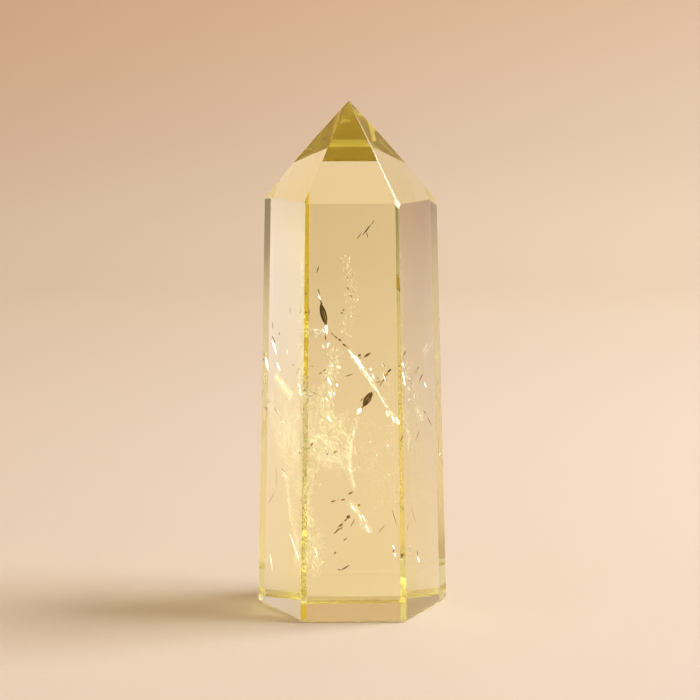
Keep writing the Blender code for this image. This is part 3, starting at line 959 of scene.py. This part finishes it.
def thread_tree():
    """Strew short threads over guide sheets, along the course that each sheet gives."""
    tree, given = new_tree("sealed_threads", {
        "Width": "Float", "Depth scatter": "Float", "Tilt": "Float", "Seed": "Int",
        "Material": "Material",
    })
    reads = {}
    for label in ("course", "facing", "thread"):
        node = add_node(tree, "GeometryNodeInputNamedAttribute", {
            "data_type": "FLOAT_VECTOR",
        }, {"Name": label})
        reads[label] = node.outputs["Attribute"]
    parts = add_node(tree, "ShaderNodeSeparateXYZ", links={"Vector": reads["thread"]})
    strays = {}
    for draw, reach in (
        (DRAW_PLACE, given.outputs["Depth scatter"]),
        (DRAW_COURSE, parts.outputs["Y"]),
        (DRAW_FACING, given.outputs["Tilt"]),
    ):
        anywhere = add_node(tree, "FunctionNodeRandomValue", {"data_type": "FLOAT_VECTOR"}, {
            "Min": (-1.0, -1.0, -1.0), "Max": (1.0, 1.0, 1.0), "Seed": draw,
        })
        stray = add_node(tree, "ShaderNodeVectorMath", {"operation": "SCALE"}, links={
            0: anywhere.outputs["Value"], "Scale": reach,
        })
        strays[draw] = stray.outputs["Vector"]
    strewn = add_node(tree, "GeometryNodeDistributePointsOnFaces", links={
        "Mesh": given.outputs["Geometry"], "Density": parts.outputs["Z"],
        "Seed": given.outputs["Seed"],
    })
    scattered = add_node(tree, "GeometryNodeSetPosition", links={
        "Geometry": strewn.outputs["Points"], "Offset": strays[DRAW_PLACE],
    })
    axes = {}
    for axis, label, draw in (
        ("Primary Axis", "course", DRAW_COURSE), ("Secondary Axis", "facing", DRAW_FACING),
    ):
        strayed = add_node(tree, "ShaderNodeVectorMath", {"operation": "ADD"}, links={
            0: reads[label], 1: strays[draw],
        })
        axes[axis] = strayed.outputs["Vector"]
    turn = add_node(tree, "FunctionNodeAxesToRotation", {
        "primary_axis": "Z", "secondary_axis": "Y",
    }, links=axes)
    share = add_node(tree, "FunctionNodeRandomValue", {"data_type": "FLOAT"}, {
        "Min": SHORTEST_SHARE, "Max": 1.0, "Seed": DRAW_SIZE,
    })
    sides = {}
    for axis, full in (("X", given.outputs["Width"]), ("Z", parts.outputs["X"])):
        side = add_node(tree, "ShaderNodeMath", {"operation": "MULTIPLY"}, links={
            0: full, 1: share.outputs["Value"],
        })
        sides[axis] = side.outputs["Value"]
    thin = add_node(tree, "ShaderNodeMath", {"operation": "MULTIPLY"}, {1: THREAD_FLATNESS}, {
        0: sides["X"],
    })
    size = add_node(tree, "ShaderNodeCombineXYZ", links={**sides, "Y": thin.outputs["Value"]})
    spindle = add_node(tree, "GeometryNodeMeshUVSphere", inputs={
        "Segments": THREAD_SEGMENTS, "Rings": THREAD_RINGS, "Radius": BALL_RADIUS,
    })
    laid = add_node(tree, "GeometryNodeInstanceOnPoints", links={
        "Points": scattered.outputs["Geometry"], "Instance": spindle.outputs["Mesh"],
        "Rotation": turn.outputs["Rotation"], "Scale": size.outputs["Vector"],
    })
    return end_tree(tree, given, laid.outputs["Instances"])


def seal(name, guide, tree, values):
    """Run a tree over a guide mesh and keep what it makes as a plain piece of the stone."""
    piece = bpy.data.objects.new(name, guide)
    bpy.context.scene.collection.objects.link(piece)
    modifier = piece.modifiers.new("Sealed", "NODES")
    modifier.node_group = tree
    for socket in tree.interface.items_tree:
        if socket.in_out == "INPUT" and socket.name in values:
            modifier[socket.identifier] = values[socket.name]
    grown = piece.evaluated_get(bpy.context.evaluated_depsgraph_get())
    mesh = bpy.data.meshes.new_from_object(grown)
    mesh.name = name
    piece.modifiers.clear()
    piece.data = mesh
    if not mesh.polygons:
        raise RuntimeError(name + " came out empty")
    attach(piece, "root")
    return piece


# Quartz lies against what is sealed in it, so little light turns back at the skin of a stain.
SEALED_SHINE = 0.1
GRAIN_DETAIL = 3.0
GRAIN_BLEND = (0.35, 0.62)


def sealed_matter(name, low, high, grain_size, roughness, mirror=0.0):
    """A matter in two shades, with grains of a real size, and how far it is like a mirror."""
    material = new_material(name)
    tree = material.node_tree
    place = add_node(tree, "ShaderNodeTexCoord")
    grain = add_node(tree, "ShaderNodeTexNoise", inputs={
        "Scale": 1 / grain_size, "Detail": GRAIN_DETAIL,
    }, links={"Vector": place.outputs["Object"]})
    colour = shade_across(tree, grain.outputs["Fac"], *GRAIN_BLEND, low, high)
    surface = add_node(tree, "ShaderNodeBsdfPrincipled", inputs={
        "Roughness": roughness, "Metallic": mirror, "Specular IOR Level": SEALED_SHINE,
    }, links={"Base Color": colour})
    add_node(tree, "ShaderNodeOutputMaterial", links={"Surface": surface.outputs["BSDF"]})
    return material


def air_film():
    """Air in a crack that never healed: a soft metal mirror stands in for total reflection."""
    return sealed_matter("air_film", "DDE0E8", "FAFCFF", 0.5 * MM, 0.24, 1.0)


def healed_quartz():
    """Slivers of hollow left where a crack healed: a soft metal stands in for their pale glint."""
    return sealed_matter("healed_quartz", "ECEAE0", "FFFFFA", 0.8 * MM, 0.30, 1.0)


def ochre():
    """Iron ochre, a dry yellow earth in a crack: deep to pale gold, and dull."""
    return sealed_matter("ochre", "A07A14", "E8C13C", 0.3 * MM, 0.5)


def limonite():
    """Limonite, a brown iron earth drawn thinly into a crack: warm brown, and dull."""
    return sealed_matter("limonite", "7C5616", "B08228", 0.3 * MM, 0.5)


def goethite():
    """Goethite needles, an iron ore grown in the quartz: dark brown, with a dull shine."""
    return sealed_matter("goethite", "3A2A10", "6E5424", 0.3 * MM, 0.4)


# The streaks of a dark flake: how many cross a flake's width and run along its length, and how
# many to the metre set one flake's apart from the next's. Then where the painted dark turns paler, where
# it turns gold, and where, through a flake, its far wall starts.
STREAKS = (9.0, 0.0, 1.6)
STREAKS_PER_METRE = 200.0
STREAK_DETAIL = 1.0
PAINTED_DARK_BLEND = (0.40, 0.50)
GOLD_BLEND = (0.57, 0.63)
FAR_WALL = (-0.10, 0.0)


def painted_dark_reflection():
    """The near wall of a crack painted nearly black, a painted dark reflection of dark surroundings, with
    gold lines; the far wall is pale.
    """
    material = new_material("painted_dark_reflection")
    tree = material.node_tree
    place = add_node(tree, "ShaderNodeTexCoord")
    flake = add_node(tree, "ShaderNodeAttribute", {"attribute_name": "flake_place"})
    drawn = add_node(tree, "ShaderNodeVectorMath", {"operation": "MULTIPLY"}, {1: STREAKS}, {
        0: flake.outputs["Vector"],
    })
    moved = add_node(tree, "ShaderNodeVectorMath", {"operation": "SCALE"}, {
        "Scale": STREAKS_PER_METRE,
    }, {0: place.outputs["Object"]})
    across = add_node(tree, "ShaderNodeVectorMath", {"operation": "ADD"}, links={
        0: drawn.outputs["Vector"], 1: moved.outputs["Vector"],
    })
    lines = add_node(tree, "ShaderNodeTexNoise", inputs={
        "Scale": 1.0, "Detail": STREAK_DETAIL,
    }, links={"Vector": across.outputs["Vector"]})
    # Painted dark reflection: the near wall nearly black, with streaks that turn paler and gold.
    painted_dark = shade_across(tree, lines.outputs["Fac"], *PAINTED_DARK_BLEND, "33240B", "6E531C")
    streaked = shade_across(tree, lines.outputs["Fac"], *GOLD_BLEND, painted_dark, "CDB060")
    sides = add_node(tree, "ShaderNodeSeparateXYZ", links={"Vector": flake.outputs["Vector"]})
    colour = shade_across(tree, sides.outputs["Y"], *FAR_WALL, "DCC98C", streaked)
    surface = add_node(tree, "ShaderNodeBsdfPrincipled", inputs={
        "Roughness": 0.35, "Specular IOR Level": SEALED_SHINE,
    }, links={"Base Color": colour})
    add_node(tree, "ShaderNodeOutputMaterial", links={"Surface": surface.outputs["BSDF"]})
    return material


class CITRINE_OT_flakes(bpy.types.Operator):
    """Seal the flakes of the fractures in the stone"""

    bl_idname = "citrine.flakes"
    bl_label = "Seal Flakes"

    def execute(self, context):
        settings = context.scene.citrine_sealed
        sight = Sight(context.scene)
        tree = flake_tree()
        for name, finish, matter in (
            ("fracture_films", CLEAR, air_film()),
            # Flakes painted nearly black, as a painted dark reflection.
            ("painted_dark_flakes", DARK_FLAKE, painted_dark_reflection()),
            ("brown_stains", BROWN, limonite()),
            ("ochre_flecks", GOLDEN, ochre()),
        ):
            seal(name, flake_guide(sight, finish, settings.film_thickness), tree, {
                "Crinkle": settings.crinkle, "Crinkles per metre": 1 / settings.crinkle_size,
                "Material": matter,
            })
        return {"FINISHED"}


class CITRINE_OT_threads(bpy.types.Operator):
    """Strew the healed threads and the dark needles in the stone"""

    bl_idname = "citrine.threads"
    bl_label = "Strew Threads"

    def execute(self, context):
        settings = context.scene.citrine_sealed
        sight = Sight(context.scene)
        tree = thread_tree()
        for name, finish, matter in (
            ("healed_threads", PALE, healed_quartz()),
            ("dark_needles", DARK, goethite()),
        ):
            seal(name, veil_guide(sight, finish), tree, {
                "Width": settings.thread_width, "Depth scatter": settings.thread_scatter,
                "Tilt": settings.thread_tilt, "Seed": settings.seed, "Material": matter,
            })
        return {"FINISHED"}


# The stage --------------------------------------------------------------------------------

def camera_place(stage):
    """Where the camera stands."""
    return Vector((stage.camera_aside, -stage.camera_distance, stage.camera_height))


def camera_turn(stage):
    """How the camera is turned: level and facing +Y, and then tilted down."""
    return Euler((math.radians(90) - stage.camera_tilt, 0.0, 0.0))


SWEEP_HALF_WIDTH = 1.6
FLOOR_FRONT = -1.6
FLOOR_GAP = 0.03 * MM
CURVE_START = 0.55
CURVE_RADIUS = 0.45
CURVE_STEPS = 24
WALL_TOP = 2.2


def sweep_profile():
    """The floor, the curve and the wall of the sweep, as (y, z) points."""
    points = [(FLOOR_FRONT, -FLOOR_GAP), (CURVE_START, -FLOOR_GAP)]
    for step in range(1, CURVE_STEPS + 1):
        turn = math.radians(90 * step / CURVE_STEPS)
        out = CURVE_START + CURVE_RADIUS * math.sin(turn)
        points.append((out, CURVE_RADIUS * (1 - math.cos(turn))))
    points.append((CURVE_START + CURVE_RADIUS, WALL_TOP))
    return points


PAPER_GRAINS_PER_METRE = 900.0
PAPER_GRAIN_DETAIL = 3.0
# Two of the tones of painted light and shade come in aslant: up with this much of across, and across with
# this of back.
ACROSS_IN_UP = -0.15
BACK_IN_ACROSS = -0.35


def paper(name):
    """Matt coated backdrop paper, pale peach, with light and shade painted into it in a few soft tones that
    run into one another.
    """
    material = new_material(name)
    tree = material.node_tree
    place = add_node(tree, "ShaderNodeTexCoord")
    grain = add_node(tree, "ShaderNodeTexNoise", inputs={
        "Scale": PAPER_GRAINS_PER_METRE, "Detail": PAPER_GRAIN_DETAIL,
    }, links={"Vector": place.outputs["Object"]})
    axes = add_node(tree, "ShaderNodeSeparateXYZ", links={"Vector": place.outputs["Object"]})
    across, back, up = (axes.outputs[axis] for axis in "XYZ")
    leaning = {}
    for way, slope, along, upon in (
        ("up and left", ACROSS_IN_UP, across, up), ("right", BACK_IN_ACROSS, back, across),
    ):
        node = add_node(tree, "ShaderNodeMath", {"operation": "MULTIPLY_ADD"}, {1: slope}, {
            0: along, 2: upon,
        })
        leaning[way] = node.outputs["Value"]
    plain = shade_across(tree, grain.outputs["Fac"], 0.0, 1.0, "D3C3AC", "D6C6AF")
    colour = plain
    # Each tone of painted light and shade: along what it comes in, from where to where in metres, and what it
    # comes to.
    for along, start, end, tone in (
        # Painted light paler towards the foot of the curve, plain again up it, painted shade browner, and
        # plain high up.
        (back, 0.28, 0.55, "DBCBB2"),
        (up, 0.005, 0.06, plain),
        (leaning["up and left"], -0.01, 0.16, "CDAF92"),
        (up, 0.12, 0.34, plain),
        # Painted shade greyer and then painted light paler to the right, and painted shade dark to the front,
        # below the camera.
        (leaning["right"], 0.03, 0.16, "C8C0C1"),
        (leaning["right"], 0.22, 0.40, "D8CFCC"),
        (back, -0.12, -0.42, "858084"),
    ):
        colour = shade_across(tree, along, start, end, colour, tone)
    surface = add_node(tree, "ShaderNodeBsdfPrincipled", inputs={
        "Roughness": 0.85, "Specular IOR Level": 0.2,
    }, links={"Base Color": colour})
    add_node(tree, "ShaderNodeOutputMaterial", links={"Surface": surface.outputs["BSDF"]})
    return material


# How bright the air is from the front and from behind, and between which heights of a way,
# where 1 is straight up, it turns from warm white to brown.
AIR_FRONT = 0.82
AIR_BACK = 0.40
AIR_BROWNING = (0.35, 0.85)


def studio_air():
    """Soft warm light from all round, stronger from the camera's side, and browner overhead."""
    world = bpy.data.worlds.new("studio_air")
    world.use_nodes = True
    tree = world.node_tree
    tree.nodes.clear()
    way = add_node(tree, "ShaderNodeTexCoord")
    axes = add_node(tree, "ShaderNodeSeparateXYZ", links={"Vector": way.outputs["Generated"]})
    colour = shade_across(tree, axes.outputs["Z"], *AIR_BROWNING, "FFF1E2", "D2A47C")
    strength = add_node(tree, "ShaderNodeMapRange", inputs={
        "From Min": -1.0, "From Max": 1.0, "To Min": AIR_FRONT, "To Max": AIR_BACK,
    }, links={"Value": axes.outputs["Y"]})
    light = add_node(tree, "ShaderNodeBackground", links={
        "Color": colour, "Strength": strength.outputs["Result"],
    })
    add_node(tree, "ShaderNodeOutputWorld", links={"Surface": light.outputs["Background"]})
    return world


KEY_AIM = (0.0, 0.0, 0.03)
KEY_SIZE = (0.6, 0.75)
KEY_POWER = 14.7
KEY_COLOUR = "F0F5FF"
FILL_PLACE = (0.92, 0.80, 0.33)
FILL_AIM = (0.0, 0.0, 0.04)
FILL_SIZE = (0.55, 0.30)
FILL_POWER = 0.20
FILL_COLOUR = "E8DEFF"


def area_light(name, place, aim, size, power, colour):
    """A rectangular light of a size in metres and a power in watts, aimed at a place."""
    lamp = bpy.data.lights.new(name, "AREA")
    lamp.shape = "RECTANGLE"
    lamp.size, lamp.size_y = size
    lamp.energy = power
    lamp.color = linear(colour)
    holder = bpy.data.objects.new(name, lamp)
    holder.location = place
    holder.rotation_euler = (Vector(aim) - Vector(place)).to_track_quat("-Z", "Y").to_euler()
    holder.visible_camera = False
    bpy.context.scene.collection.objects.link(holder)


# How far light is followed through the stone, and how much its glitter is softened.
LIGHT_PATHS = {
    "max_bounces": 40,
    "transmission_bounces": 40,
    "glossy_bounces": 12,
    "transparent_max_bounces": 40,
    "caustics_reflective": True,
    "caustics_refractive": True,
    "blur_glossy": 0.3,
}
NEAREST_SEEN = 0.01
FARTHEST_SEEN = 10.0


class CITRINE_OT_stage(bpy.types.Operator):
    """Lay the pale sweep and set the lights and the camera"""

    bl_idname = "citrine.stage"
    bl_label = "Set Stage"

    def execute(self, context):
        settings = context.scene.citrine_stage
        profile = sweep_profile()
        edges = (-SWEEP_HALF_WIDTH, SWEEP_HALF_WIDTH)
        verts = [(edge, y, z) for y, z in profile for edge in edges]
        lefts = range(0, 2 * len(profile) - 2, 2)
        faces = [(left, left + 1, left + 3, left + 2) for left in lefts]
        mesh = bpy.data.meshes.new("sweep")
        mesh.from_pydata(verts, [], faces)
        mesh.shade_smooth()
        mesh.materials.append(paper("backdrop_paper"))
        sweep = bpy.data.objects.new("sweep", mesh)
        context.scene.collection.objects.link(sweep)

        area_light("key", settings.key_place, KEY_AIM, KEY_SIZE, KEY_POWER, KEY_COLOUR)
        area_light("side_fill", FILL_PLACE, FILL_AIM, FILL_SIZE, FILL_POWER, FILL_COLOUR)
        context.scene.world = studio_air()

        eye = bpy.data.cameras.new("camera")
        eye.lens = settings.lens
        eye.sensor_width = SENSOR_WIDTH
        eye.clip_start = NEAREST_SEEN
        eye.clip_end = FARTHEST_SEEN
        holder = bpy.data.objects.new("camera", eye)
        holder.location = camera_place(settings)
        holder.rotation_euler = camera_turn(settings)
        context.scene.collection.objects.link(holder)
        context.scene.camera = holder

        for name, value in LIGHT_PATHS.items():
            setattr(context.scene.cycles, name, value)
        context.scene.view_settings.view_transform = "Standard"
        return {"FINISHED"}


class CITRINE_PT_panel(bpy.types.Panel):
    """Lists the pieces and their settings"""

    bl_label = "Citrine Point"
    bl_space_type = "VIEW_3D"
    bl_region_type = "UI"
    bl_category = "Citrine"

    def draw(self, context):
        layout = self.layout
        scene = context.scene
        for settings in (scene.citrine_stone, scene.citrine_sealed, scene.citrine_stage):
            for name in settings.bl_rna.properties.keys():
                if name not in {"rna_type", "name"}:
                    layout.prop(settings, name)
        layout.operator(CITRINE_OT_stone.bl_idname)
        layout.operator(CITRINE_OT_flakes.bl_idname)
        layout.operator(CITRINE_OT_threads.bl_idname)
        layout.operator(CITRINE_OT_stage.bl_idname)


CLASSES = (
    StoneSettings, SealedSettings, StageSettings, CITRINE_OT_stone, CITRINE_OT_flakes,
    CITRINE_OT_threads, CITRINE_OT_stage, CITRINE_PT_panel,
)


def register():
    for item in CLASSES:
        bpy.utils.register_class(item)
    bpy.types.Scene.citrine_stone = PointerProperty(type=StoneSettings)
    bpy.types.Scene.citrine_sealed = PointerProperty(type=SealedSettings)
    bpy.types.Scene.citrine_stage = PointerProperty(type=StageSettings)


def unregister():
    del bpy.types.Scene.citrine_stage
    del bpy.types.Scene.citrine_sealed
    del bpy.types.Scene.citrine_stone
    for item in reversed(CLASSES):
        bpy.utils.unregister_class(item)


def main():
    register()
    bpy.ops.citrine.stone()
    bpy.ops.citrine.flakes()
    bpy.ops.citrine.threads()
    bpy.ops.citrine.stage()


if __name__ == "__main__":
    main()
